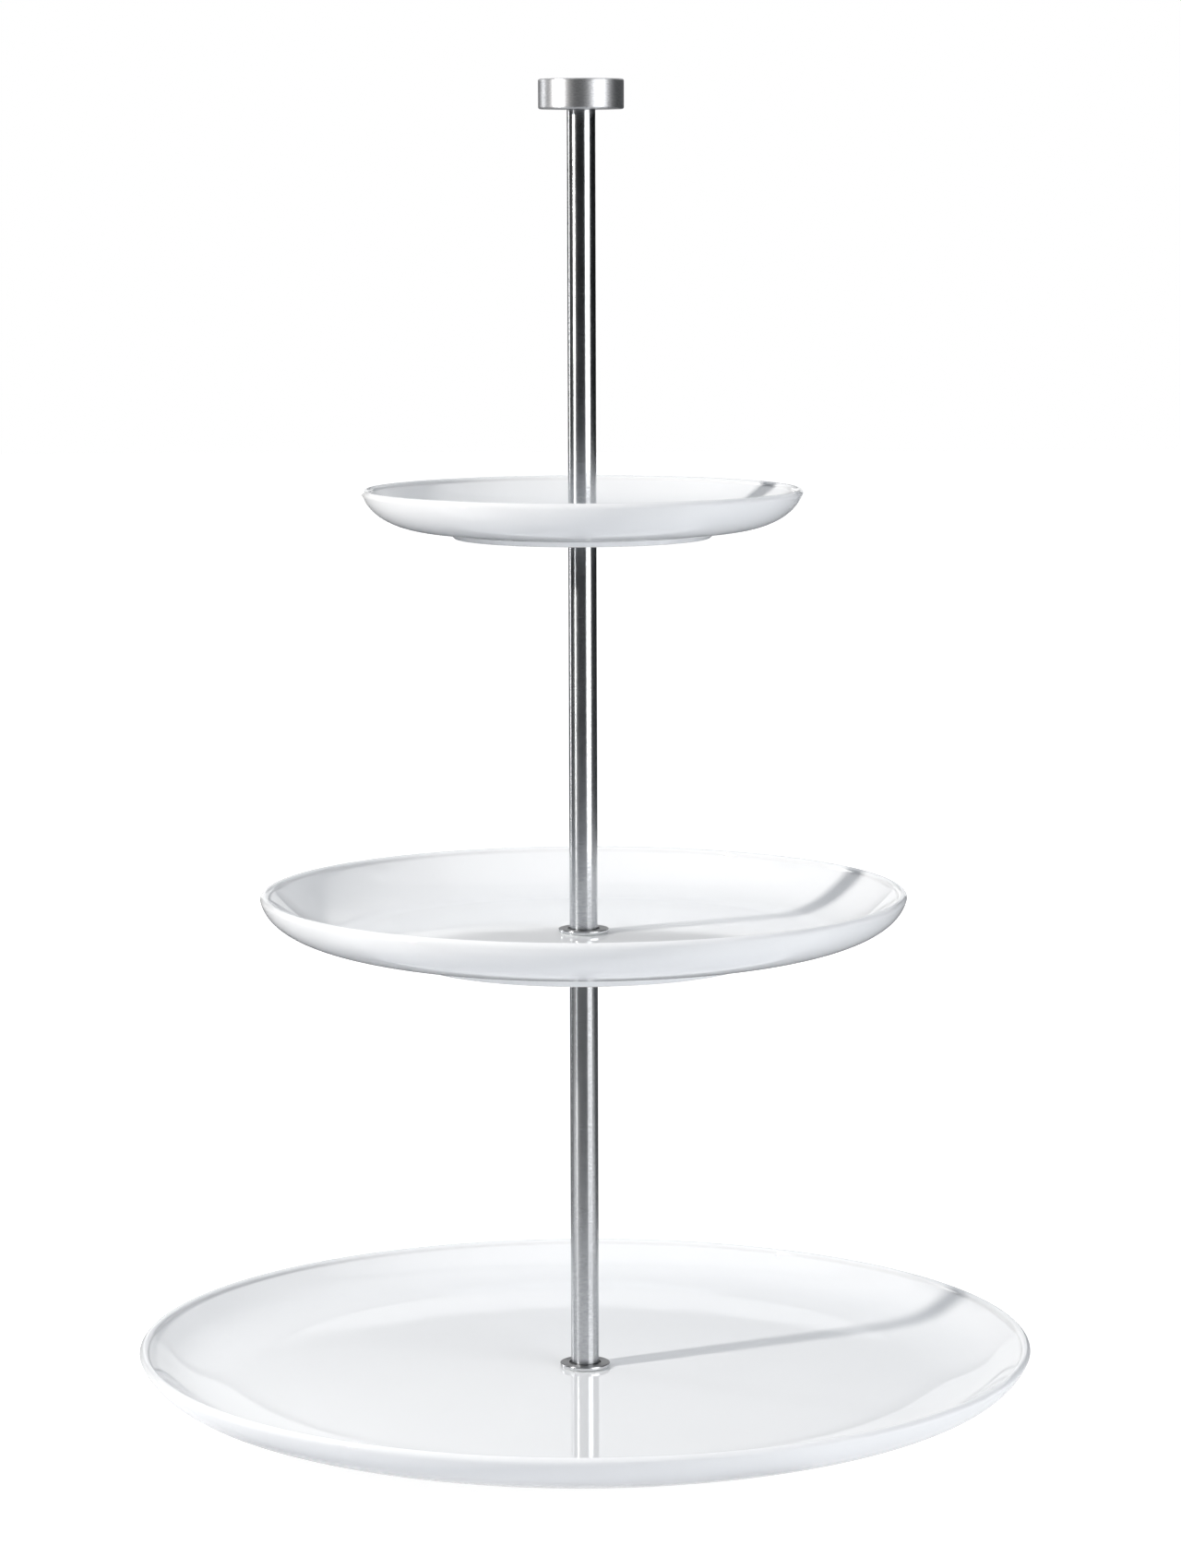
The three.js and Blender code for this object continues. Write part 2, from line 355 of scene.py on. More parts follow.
def make_ring(node, ending, body, inner, edge, relief=None):
    """A ring with its corners rounded by edge, in the place of the CAD node. With a relief,
    a narrow groove is cut into its top just outside that radius."""
    low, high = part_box(node)
    corners = [(inner, low.z), (high.x, low.z), (high.x, high.z), (inner, high.z)]
    edges = [edge] * 4
    if relief is not None:
        groove = np.array([RELIEF_WIDTH, RELIEF_WIDTH - RELIEF_DRAFT, RELIEF_DRAFT, 0]) + relief
        bottom = high.z - RELIEF_DEPTH
        corners[3:3] = zip(groove - RELIEF_DRAFT, (high.z, bottom, bottom, high.z))
        edges[3:3] = [RELIEF_EDGE] * 4
    outline = closed_outline(corners, edges)
    points, faces = turned_grid(outline, even_turn(SMALL))
    return make_piece(f"{node}_{ending}", points, faces, body, [node])


def make_disc(node, body, edge=DISC_EDGE, relief=None):
    return make_ring(node, "turned", body, THREAD_PASS, edge, relief)


POLE_BODY = {"lower": "lower_pole", "middle": "middle_pole", "upper": "upper_pole"}
tubes, discs, seals = [], [], []
for length, body in POLE_BODY.items():
    tube = f"{length}_tube"
    tubes.append(make_ring(tube, "polished", body, TUBE_BORE, TUBE_EDGE))
    discs.append(make_disc(f"{length}_flange", body, relief=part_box(tube)[1].x))
discs.append(make_disc("middle_support_disc", "lower_pole"))
discs.append(make_disc("top_support_disc", "middle_pole"))
discs.append(make_disc("base_washer", "base", edge=WASHER_EDGE))
for tier, body in PLATE_BODY.items():
    for side in ("upper", "lower"):
        node = f"{tier}_plate_{side}_seal"
        seals.append(make_ring(node, "soft", body, THREAD_PASS, SEAL_EDGE))

# %% [markdown]
# ## The knob
#
# A flat disc of steel, turned on a lathe, with both edges lightly broken and a blind threaded
# hole below. It is the piece people hold to carry the stand, so its side gets the most
# careful finish later on.

# %% Turn the knob
KNOB_HOLE_DEPTH = 8.0 * MM
KNOB_ROUNDS = np.array([0.2, 0.3, 0.75, 0.75]) * MM
low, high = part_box("knob")
knob_corners = [
    (0, low.z + KNOB_HOLE_DEPTH),
    (THREAD_PASS, low.z + KNOB_HOLE_DEPTH),
    (THREAD_PASS, low.z),
    (high.x, low.z),
    (high.x, high.z),
    (0, high.z),
]
outline = solid_outline(knob_corners, KNOB_ROUNDS)
points, faces = turned_grid(outline, even_turn(FINE))
knob = make_piece("knob_turned", points, faces, "knob", ["knob"])

# %% [markdown]
# ## Studs and the base screw
#
# The threads are M6. The engineering model draws them as plain cylinders, and here they are
# real helical threads: the radius falls and rises along the length, and the pattern is shifted
# by one pitch for each full turn. The root stays inside the plain cylinder, so nothing
# touches that did not touch before.

# %% A helical thread
PITCH = 1.0 * MM
THREAD_RADIUS = 3.0 * MM
THREAD_DEPTH = 0.45 * MM
THREAD_TIP = 0.8 * MM
THREAD_TURN = 48
PITCH_STEPS = 8
WAVE_LEVEL, WAVE_SLOPE = 1.25, 2.5
THREAD_FROM, THREAD_TO = 2.1 * MM, 3.05 * MM


def thread_wave(points):
    """1 in the root of the thread and 0 on its crest: a triangle wave of
    (height / pitch - turn / full turn), made steeper and clipped, which rounds it."""
    around = np.arctan2(points[:, 1], points[:, 0]) / (2 * np.pi)
    phase = (points[:, 2] / PITCH - around) % 1
    return np.clip(WAVE_LEVEL - WAVE_SLOPE * np.abs(2 * phase - 1), 0, 1)


def threaded_points(outline, turn, start, end):
    """Points and faces of a turned piece, with a helical thread between two levels.
    Where a point lies on the thread, its radius loses depth times the thread's wave, faded in
    and out over one pitch at both ends."""
    points, faces = turned_grid(outline, turn)
    radius = np.hypot(points[:, 0], points[:, 1])
    height = points[:, 2]
    fade = np.clip((height - start) / PITCH, 0, 1) * np.clip((end - height) / PITCH, 0, 1)
    threaded = (radius > THREAD_FROM) & (radius < THREAD_TO)
    lose = np.where(threaded, THREAD_DEPTH * thread_wave(points) * fade, 0)
    scale = np.where(radius > 0, (radius - lose) / np.maximum(radius, ON_AXIS), 1)
    return points * np.stack([scale, scale, np.ones_like(scale)], -1), faces


def thread_levels(start, end):
    """Evenly spaced levels along a thread, PITCH_STEPS to each pitch."""
    steps = max(2, int(round((end - start) / PITCH * PITCH_STEPS)))
    return np.linspace(start, end, steps + 1)


print("threads: pitch", PITCH / MM, "mm, depth", THREAD_DEPTH / MM, "mm")

# %% Turn the studs
STUD_PLUG = 12.0 * MM
STUD_ROUNDS = np.array([0.3, 0.2]) * MM
STUD_NECK = 0.3 * MM

studs = []
for length, body in POLE_BODY.items():
    low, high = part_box(f"{length}_stud")
    shoulder = low.z + STUD_PLUG
    levels = thread_levels(shoulder + STUD_NECK, high.z - THREAD_TIP)
    plug = [(0, low.z), (high.x, low.z), (high.x, shoulder), (THREAD_RADIUS, shoulder)]
    shank = np.stack([np.full_like(levels, THREAD_RADIUS), levels], -1)
    tip = [(THREAD_RADIUS - THREAD_TIP, high.z), (0, high.z)]
    outline = np.concatenate([solid_outline(plug, STUD_ROUNDS), shank, tip])
    points, faces = threaded_points(outline, even_turn(THREAD_TURN), levels[0], levels[-1])
    name, node = f"{length}_stud_threaded", f"{length}_stud"
    studs.append(make_piece(name, points, faces, body, [node], sharp_deg=40))

# %% [markdown]
# ## The slotted head
#
# The head of the base screw has a coin slot, which is not a turned shape. Its face is a grid
# of chords: every row is a straight chord of the round head, and a few rows drop by the depth
# of the slot. The ends of the chords then give the ring of angles from which the side of the
# head and the shank are turned, so that face, side and shank share their vertices.

# %% The face of the head, with its slot
HEAD_EDGE = 0.4 * MM
HEAD_HEIGHT = 1.8 * MM
SLOT_HALF = 0.8 * MM
SLOT_DEPTH = 0.9 * MM
SLOT_DRAFT = 0.04 * MM
CHORD_ROWS, CHORD_COLUMNS = 22, 17
MIDDLE_ROW, ROW_CLEAR = 0.14, 0.1 * MM


def slotted_face(radius, level):
    """The face of the head as rows of chords, from -Y to +Y.
    A chord at height y runs from -sqrt(r^2 - y^2) to +sqrt(r^2 - y^2). Rows between the two
    walls of the slot lie deeper by the slot's depth."""
    side = np.sin(np.linspace(-np.pi / 2, -math.asin(MIDDLE_ROW), CHORD_ROWS))[1:] * radius
    wall = np.array([-SLOT_HALF - SLOT_DRAFT, -SLOT_HALF])
    side = np.concatenate([side[side < wall[0] - ROW_CLEAR], wall])
    y = np.concatenate([side, [0], -side[::-1]])
    deep = np.abs(y) < SLOT_HALF + SLOT_DRAFT / 2
    z = np.where(deep, level + SLOT_DEPTH, level)
    x = np.outer(np.sqrt(radius**2 - y**2), np.cos(np.linspace(np.pi, 0, CHORD_COLUMNS)))
    return np.stack([x, *(np.repeat(v[:, None], CHORD_COLUMNS, 1) for v in (y, z))], -1)


def grid_quads(number):
    """Quads between neighbouring rows and columns of a grid of vertex numbers."""
    corners = [number[:-1, :-1], number[1:, :-1], number[1:, 1:], number[:-1, 1:]]
    return np.stack(corners, -1).reshape(-1, 4)


low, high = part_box("base_screw")
face_radius = high.x - HEAD_EDGE
rows = slotted_face(face_radius, low.z)
number = np.arange(rows[..., 0].size).reshape(rows.shape[:2])
tips = np.array([[0, -face_radius, low.z], [0, face_radius, low.z]])
start_tip, end_tip = number.size + np.arange(2)
start = np.full(CHORD_COLUMNS - 1, start_tip)
end = np.full(CHORD_COLUMNS - 1, end_tip)
start_fan = np.stack([start, number[0, :-1], number[0, 1:]], -1)
end_fan = np.stack([end, number[-1, 1:], number[-1, :-1]], -1)
face_points = np.concatenate([rows.reshape(-1, 3), tips])
loop = np.concatenate([[start_tip], number[:, -1], [end_tip], number[::-1, 0]])
print("slotted face:", len(face_points), "vertices,", len(loop), "of them on its edge")

# %% Turn the side and the shank from the edge of the face
FACE_ROUND, SEAT_ROUND = 0.12 * MM, 0.15 * MM
SCREW_NECK, PLAIN_SHANK = 0.3 * MM, 1.5 * MM

loop_turn = np.unwrap(np.arctan2(face_points[loop, 1], face_points[loop, 0]))
loop_z = face_points[loop, 2]
seat = low.z + HEAD_HEIGHT
levels = thread_levels(seat + PLAIN_SHANK, high.z - THREAD_TIP)
head = [
    (high.x - FACE_ROUND, low.z + FACE_ROUND),
    (high.x, low.z + HEAD_EDGE),
    (high.x, seat - SEAT_ROUND),
    (high.x - SEAT_ROUND, seat),
    (THREAD_RADIUS, seat),
    (THREAD_RADIUS, seat + SCREW_NECK),
]
shank = np.stack([np.full_like(levels, THREAD_RADIUS), levels], -1)
side_radius, side_level = np.concatenate([head, shank, [(THREAD_RADIUS - THREAD_TIP, high.z)]]).T
# the slot runs out through the side, so its first two rings follow the face where it is deep
follows_face = np.arange(len(side_level)) < 2
side_z = np.maximum(side_level, follows_face * loop_z[:, None])
side_x, side_y = (np.outer(part, side_radius) for part in (np.cos(loop_turn), np.sin(loop_turn)))
side = np.stack([side_x, side_y, side_z], -1)
side_number = len(face_points) + np.arange(side[..., 0].size).reshape(side.shape[:2])
columns = np.concatenate([loop[:, None], side_number], 1)
around_loop = np.concatenate([columns, columns[:1]])
last_ring = side_number[:, -1]
point_end = np.full(len(loop), len(face_points) + side_number.size)
end_cap = np.stack([last_ring, np.roll(last_ring, -1), point_end], -1)

screw_points = np.concatenate([face_points, side.reshape(-1, 3), [[0, 0, high.z]]])
radius = np.hypot(screw_points[:, 0], screw_points[:, 1])
on_thread = (np.abs(radius - THREAD_RADIUS) < MICRON) & (screw_points[:, 2] > levels[0])
root_share = THREAD_DEPTH / THREAD_RADIUS
scale = np.where(on_thread, 1 - root_share * thread_wave(screw_points), 1)
screw_points[:, :2] *= scale[:, None]
parts = (grid_quads(number), start_fan, end_fan, grid_quads(around_loop), end_cap)
screw = make_piece(
    "base_screw_slotted",
    screw_points,
    [face for part in parts for face in part.tolist()],
    "base_screw",
    ["base_screw"],
    sharp_deg=35,
)

# %% [markdown]
# ## Finishes: a small kit for node materials
#
# Each finish is a Principled shader fed by noise that is keyed to the object's own
# coordinates, in metres. Every piece sits at the origin, so those coordinates are also
# the stand's, and a pattern about the Z axis is centred on the pole.

# %% Helpers for materials


def node_math(tree, operation, first, second=0.0):
    """A Math node that works on numbers or sockets."""
    node = tree.nodes.new("ShaderNodeMath")
    node.operation = operation
    for socket, value in zip(node.inputs, (first, second)):
        if isinstance(value, (int, float)):
            socket.default_value = value
        else:
            tree.links.new(value, socket)
    return node.outputs[0]


def map_range(tree, value, start, end, low, high, kind="LINEAR"):
    """value from start..end stretched to low..high, clamped."""
    node = tree.nodes.new("ShaderNodeMapRange")
    node.interpolation_type = kind
    numbers = {"From Min": start, "From Max": end, "To Min": low, "To Max": high}
    for socket, number in numbers.items():
        node.inputs[socket].default_value = number
    tree.links.new(value, node.inputs["Value"])
    return node.outputs["Result"]


class Finish:
    """A node material with one Principled shader and short calls to add nodes."""

    def __init__(self, name, **sockets):
        self.material = bpy.data.materials.new(name)
        self.material.use_nodes = True
        self.tree = self.material.node_tree
        self.shader = self.tree.nodes["Principled BSDF"]
        for socket, value in sockets.items():
            self.shader.inputs[socket.replace("_", " ")].default_value = value
        self.place = self.tree.nodes.new("ShaderNodeTexCoord").outputs["Object"]

    def join(self, source, target):
        self.tree.links.new(source, target)

    def stretched(self, scale):
        """Object coordinates, each axis times its own scale."""
        node = self.tree.nodes.new("ShaderNodeMapping")
        node.inputs["Scale"].default_value = scale
        self.join(self.place, node.inputs["Vector"])
        return node.outputs["Vector"]

    def noise(self, scale, detail=2.0, roughness=0.5, stretch=None):
        """Noise from 0 to 1; scale is in waves per metre."""
        node = self.tree.nodes.new("ShaderNodeTexNoise")
        node.inputs["Scale"].default_value = scale
        node.inputs["Detail"].default_value = detail
        node.inputs["Roughness"].default_value = roughness
        self.join(self.stretched(stretch) if stretch else self.place, node.inputs["Vector"])
        return node.outputs["Fac"]

    def span(self, value, low, high, start=0.0, end=1.0):
        """low where value is at start, high where it is at end, clamped."""
        return map_range(self.tree, value, start, end, low, high)

    def blend(self, share, first, second):
        """Colour mix of two RGB colours or sockets by share."""
        node = self.tree.nodes.new("ShaderNodeMix")
        node.data_type = "RGBA"
        self.join(share, node.inputs[0])
        for socket, value in zip(node.inputs[6:8], (first, second)):
            if isinstance(value, tuple):
                socket.default_value = (*value, 1)
            else:
                self.join(value, socket)
        return node.outputs[2]

    def bump(self, height, distance, under=None):
        """A bump of `distance` metres for a height of 1, over another bump if given."""
        node = self.tree.nodes.new("ShaderNodeBump")
        node.inputs["Strength"].default_value = 1
        node.inputs["Distance"].default_value = distance
        self.join(height, node.inputs["Height"])
        if under is not None:
            self.join(under, node.inputs["Normal"])
        return node.outputs["Normal"]

    def feed(self, socket, value):
        self.join(value, self.shader.inputs[socket])

    def wear(self, *pieces):
        """Every piece gets this material in all of its slots."""
        for piece in pieces:
            piece.data.materials.clear()
            piece.data.materials.append(self.material)


print("finish kit ready")

# %% [markdown]
# ## Glazed porcelain
#
# Hard porcelain under a clear glaze: a slightly cool white, mirror-smooth from close by and
# gently wavy from afar, because the glaze ran while it was melted. Here and there a grain of
# iron has burnt to a tiny dark speck: the middle of a Voronoi cell, in the few places where a
# slow noise lets it grow. The glaze is part of the Principled shader's own specular layer, so
# no second shader is needed. The foot ring is wiped clean before firing, and stays matt.

# %% Glaze and the bare foot ring
GLAZE_WHITE = (0.880, 0.885, 0.893)
GLAZE_DEEP = (0.866, 0.871, 0.881)
SPECK = (0.30, 0.29, 0.28)
SPECK_CELLS, SPECK_RADIUS, SPECK_WHERE = 42, 0.012, (0.56, 0.72)
CLAY_DARK, CLAY_LIGHT = (0.74, 0.725, 0.70), (0.80, 0.79, 0.77)
FOOT_BAND = 0.35 * MM

glaze = Finish("glazed_porcelain", IOR=1.5)
speck_cells = glaze.tree.nodes.new("ShaderNodeTexVoronoi")
speck_cells.inputs["Scale"].default_value = SPECK_CELLS
speck_cells.inputs["Randomness"].default_value = 1
glaze.join(glaze.place, speck_cells.inputs["Vector"])
speck_spread = glaze.noise(23, detail=0)
speck_size = glaze.span(speck_spread, 0.0, SPECK_RADIUS, *SPECK_WHERE)
speck_reach = speck_cells.outputs["Distance"]
is_speck = node_math(glaze.tree, "LESS_THAN", speck_reach, speck_size)
cloud = glaze.blend(glaze.span(glaze.noise(14), 0, 1, 0.3, 0.7), GLAZE_WHITE, GLAZE_DEEP)
glaze.feed("Base Color", glaze.blend(is_speck, cloud, SPECK))
glaze.feed("Roughness", glaze.span(glaze.noise(60, detail=3), 0.012, 0.028, 0.3, 0.7))
slow_wave = glaze.bump(glaze.noise(26, detail=1), 14 * MICRON)
glaze.feed("Normal", glaze.bump(glaze.noise(420, detail=1), 0.8 * MICRON, under=slow_wave))

clay = Finish("bare_foot_ring", IOR=1.5)
clay_grain = clay.noise(2600, detail=3)
clay.feed("Base Color", clay.blend(clay_grain, CLAY_DARK, CLAY_LIGHT))
clay.feed("Roughness", clay.span(clay_grain, 0.62, 0.85))
clay.feed("Normal", clay.bump(clay_grain, 30 * MICRON))


def two_finishes(piece, usual, other, pick_other):
    """Gives the piece two materials. pick_other gets the faces' normals and centres as
    (n, 3) arrays, and says for each face whether it takes the second one."""
    mesh = piece.data
    mesh.materials.append(usual.material)
    mesh.materials.append(other.material)
    normals, centres = np.empty((2, 3 * len(mesh.polygons)))
    mesh.polygons.foreach_get("normal", normals)
    mesh.polygons.foreach_get("center", centres)
    picked = pick_other(normals.reshape(-1, 3), centres.reshape(-1, 3))
    mesh.polygons.foreach_set("material_index", picked.astype(np.int32))
    mesh.update()
    print(piece.name, "has", int(picked.sum()), "faces of", other.material.name)


for tier, plate in plates.items():
    bare_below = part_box(f"{tier}_plate")[0].z + FOOT_BAND
    two_finishes(plate, glaze, clay, lambda normals, centres: centres[:, 2] < bare_below)

# %% [markdown]
# ## Polished tube
#
# Thin steel tube is polished by a belt while it spins, which leaves hair-fine scratches round
# it. They keep a reflection narrow from side to side and smear it up and down, so the tube
# shows tall bright and dark bands. Principled has a setting for this, Anisotropic, which
# follows the direction of a Tangent node. The same number for the whole surface is set on the
# shader itself, and only the roughness is varied by noise.

# %% The tube's finish
TUBE_LIGHT, TUBE_DARK = (0.69, 0.70, 0.715), (0.51, 0.52, 0.535)
QUARTER = 0.25


def turned_steel(name, anisotropic):
    """Steel whose fine lines run round the Z axis. A quarter turn from them, along the axis,
    it smears what it reflects."""
    finish = Finish(name, Metallic=1.0, Anisotropic=anisotropic, Anisotropic_Rotation=QUARTER)
    node = finish.tree.nodes.new("ShaderNodeTangent")
    node.direction_type = "RADIAL"
    node.axis = "Z"
    finish.join(node.outputs["Tangent"], finish.shader.inputs["Tangent"])
    return finish


pole_finish = turned_steel("polished_tube", 0.75)
tube_lines = pole_finish.noise(1, detail=4, roughness=0.7, stretch=(700, 700, 2000))
tube_patch = pole_finish.noise(70, detail=2)
tube_tone = pole_finish.span(tube_lines, 0, 1, 0.34, 0.66)
pole_finish.feed("Base Color", pole_finish.blend(tube_tone, TUBE_LIGHT, TUBE_DARK))
pole_finish.feed("Roughness", pole_finish.span(tube_patch, 0.235, 0.265, 0.3, 0.7))
pole_finish.feed("Normal", pole_finish.bump(tube_lines, 3 * MICRON))
pole_finish.wear(*tubes)
print(len(tubes), "polished tubes")

# %% [markdown]
# ## Turned discs
# The flat of a disc is left as the lathe cut it: dull, with fine rings. Its edge is
# polished, and shows as a bright line round it. So each disc wears two finishes. The flat's
# steel colour is painted shade: it is much darker than the edge's, for the dark reflection
# the flat shows. A face takes the turned, darker finish if it lies flat, or if it is well
# inside the edge, as the walls of the relief groove are, so those walls carry the painted
# shade too.

# %% Two finishes for the discs
# the flats' steel colour is painted shade: much darker than the edge, for the dark reflection a
# flat shows
SHADED_FACE_LIGHT, SHADED_FACE_DARK = (0.33, 0.335, 0.345), (0.21, 0.215, 0.225)
EDGE_LIGHT, EDGE_DARK = (0.84, 0.845, 0.855), (0.68, 0.685, 0.70)
FLAT_FROM, OUTER_SHARE = 0.8, 0.7

shaded_face_finish = turned_steel("turned_disc_face_painted_shade", 0.85)
rings = shaded_face_finish.tree.nodes.new("ShaderNodeTexWave")
rings.wave_type = "RINGS"
rings.rings_direction = "Z"
for socket, value in (("Scale", 900), ("Distortion", 0.8), ("Detail", 2), ("Detail Scale", 2)):
    rings.inputs[socket].default_value = value
shaded_face_finish.join(shaded_face_finish.place, rings.inputs["Vector"])
face_grain = shaded_face_finish.noise(1500, detail=2)
# painted shade: the flats and the groove walls take the darker steel colour
shaded_face_finish.feed("Base Color", shaded_face_finish.blend(face_grain, SHADED_FACE_LIGHT, SHADED_FACE_DARK))
shaded_face_finish.feed("Roughness", shaded_face_finish.span(face_grain, 0.42, 0.52))
shaded_face_finish.feed("Normal", shaded_face_finish.bump(rings.outputs["Fac"], 4 * MICRON))

edge_finish = turned_steel("polished_disc_edge", 0.5)
edge_lines = edge_finish.noise(1, detail=3, stretch=(500, 500, 2400))
edge_finish.feed("Base Color", edge_finish.blend(edge_lines, EDGE_LIGHT, EDGE_DARK))
edge_finish.feed("Roughness", edge_finish.span(edge_lines, 0.15, 0.24, 0.3, 0.7))
edge_finish.feed("Normal", edge_finish.bump(edge_lines, 3 * MICRON))


def flat_or_inside(normals, centres):
    """Whether a face of a disc points up or down, or lies inside its outer share."""
    reach = np.hypot(centres[:, 0], centres[:, 1])
    return (np.abs(normals[:, 2]) > FLAT_FROM) | (reach < OUTER_SHARE * reach.max())


for disc in discs:
    two_finishes(disc, edge_finish, shaded_face_finish, flat_or_inside)

# %% [markdown]
# ## The knob and the fasteners
#
# The knob has the same turned lines as the tube, but coarser, and a fine grain over them, so
# it looks satin next to the tube. The studs, inserts and the base screw are plated, with an
# even, fine grain that has no direction.

# %% Finishes of the knob and the fasteners
KNOB_LIGHT, KNOB_DARK = (0.86, 0.865, 0.88), (0.60, 0.61, 0.63)
PLATED_LIGHT, PLATED_DARK = (0.60, 0.61, 0.62), (0.56, 0.57, 0.59)

knob_finish = turned_steel("turned_knob", 0.6)
knob_lines = knob_finish.noise(1, detail=4, roughness=0.7, stretch=(900, 900, 2600))
knob_grain = knob_finish.noise(2600, detail=1)
knob_tone = knob_finish.span(knob_lines, 0, 1, 0.32, 0.68)
knob_finish.feed("Base Color", knob_finish.blend(knob_tone, KNOB_LIGHT, KNOB_DARK))
knob_finish.feed("Roughness", knob_finish.span(knob_lines, 0.42, 0.52, 0.3, 0.7))
knob_turned = knob_finish.bump(knob_lines, 10 * MICRON)
knob_finish.feed("Normal", knob_finish.bump(knob_grain, 4 * MICRON, under=knob_turned))
knob_finish.wear(knob)

fastener = Finish("plated_fastener", Metallic=1.0)
fastener_grain = fastener.noise(1800, detail=3)
fastener.feed("Base Color", fastener.blend(fastener_grain, PLATED_LIGHT, PLATED_DARK))
fastener.feed("Roughness", fastener.span(fastener_grain, 0.22, 0.38))
fastener.feed("Normal", fastener.bump(fastener_grain, 6 * MICRON))
inserts = [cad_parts[f"{length}_threaded_insert"] for length in POLE_BODY]
fastener.wear(screw, *studs, *inserts)
print("the knob,", len(studs), "studs,", len(inserts), "inserts and a screw")

# %% [markdown]
# ## Silicone seals
#
# Thin rings of milky silicone keep steel off the glaze. A pale, clouded colour and a soft
# gloss are enough for something so thin.

# %% Silicone
SILICONE_LIGHT, SILICONE_DARK = (0.74, 0.76, 0.77), (0.68, 0.70, 0.715)
silicone = Finish("milky_silicone", IOR=1.41)
silicone_grain = silicone.noise(900, detail=2)
silicone.feed("Base Color", silicone.blend(silicone_grain, SILICONE_LIGHT, SILICONE_DARK))
silicone.feed("Roughness", silicone.span(silicone_grain, 0.38, 0.52))
silicone.feed("Normal", silicone.bump(silicone_grain, 10 * MICRON))
silicone.wear(*seals)
print(len(seals), "seals")

# %% [markdown]
# ## The studio
#
# The stand sits on a white table before a white wall, and this studio looks different to
# three kinds of ray. The camera sees plain white. Gloss, which is what the glaze and the
# steel mirror, sees a quieter place: a white sheet on a darker table, with a dark wedge in
# front and a dim part behind, a wall that is dimmer towards the horizon, and a bright card
# far behind the stand. Soft light has its own level, stronger from behind than from in front.
# A light path node tells the three apart, so each can be set without spoiling the others.

# %% Short calls for shader nodes


def product(tree, first, *others):
    """All the values multiplied with each other."""
    for other in others:
        first = node_math(tree, "MULTIPLY", first, other)
    return first


def eased(tree, value, start, end, low, high):
    """low before start, high after end, smooth between."""
    return map_range(tree, value, start, end, low, high, "SMOOTHSTEP")


def place_of(tree, output="Object"):
    """Where a ray meets the surface, or for the world its direction: the vector, X, Y and Z."""
    place = tree.nodes.new("ShaderNodeTexCoord").outputs[output]
    split = tree.nodes.new("ShaderNodeSeparateXYZ")
    tree.links.new(place, split.inputs[0])
    return place, *split.outputs


def ray_kinds(tree):
    """1 or 0 for a camera ray, and for a ray that carries gloss or passes through glass."""
    path = tree.nodes.new("ShaderNodeLightPath").outputs
    gloss = node_math(tree, "MAXIMUM", path["Is Glossy Ray"], path["Is Transmission Ray"])
    return path["Is Camera Ray"], gloss


def shader_node(tree, kind, colour=None, strength=None):
    """A shader of that kind. The strength is a number or a socket."""
    node = tree.nodes.new(kind)
    if colour is not None:
        node.inputs["Color"].default_value = (*colour, 1)
    if isinstance(strength, float):
        node.inputs["Strength"].default_value = strength
    elif strength is not None:
        tree.links.new(strength, node.inputs["Strength"])
    return node.outputs[0]


def shader_mix(tree, share, first, second):
    node = tree.nodes.new("ShaderNodeMixShader")
    for socket, value in zip(node.inputs, (share, first, second)):
        tree.links.new(value, socket)
    return node.outputs[0]


def glow_and_shade(tree, glow, colour):
    """A glow plus a share of diffuse that keeps the shadow."""
    add = tree.nodes.new("ShaderNodeAddShader")
    glowing = shader_node(tree, "ShaderNodeEmission", (1, 1, 1), glow)
    tree.links.new(glowing, add.inputs[0])
    tree.links.new(shader_node(tree, "ShaderNodeBsdfDiffuse", colour), add.inputs[1])
    return add.outputs[0]


def simple_material(name, builder):
    """An empty node material whose output is fed by builder(tree)."""
    material = bpy.data.materials.new(name)
    material.use_nodes = True
    tree = material.node_tree
    tree.nodes.clear()
    output = tree.nodes.new("ShaderNodeOutputMaterial")
    tree.links.new(builder(tree), output.inputs["Surface"])
    return material


print("node helpers ready")

# %% The table
TABLE_HALF = 6.0
TABLE_GLOW_NEAR, TABLE_GLOW_FAR = 0.885, 1.0
GLOW_FROM, GLOW_TO = 0.25, 1.1
TABLE_SHADE = 0.35
REFLECTED_GLOW = 0.65
TABLE_BOUNCE = (0.72, 0.738, 0.768)
BOUNCE_GLOW = 0.20
BOUNCE_FROM, BOUNCE_TO = 0.19, 0.34
BOUNCE_RIGHT, BOUNCE_RIGHT_TO = 0.25, 0.25
SHEET_FRONT, SHEET_BACK, SHEET_HALF = -0.34, 0.45, 0.55
SHEET_SOFT = 0.01
DARK_SIDE, DARK_SIDE_SOFT = -0.4, 0.1
WEDGE_RIGHT, WEDGE_LEFT, WEDGE_SOFT, WEDGE_SHARE = 1.96, 0.7, 0.05, 0.15
BEHIND_FROM, BEHIND_TO, BEHIND_SHARE = -0.02, 0.14, 0.12
UNDER_FROM, UNDER_TO = 0.13, 0.16
FLOOR_DARK = 0.15


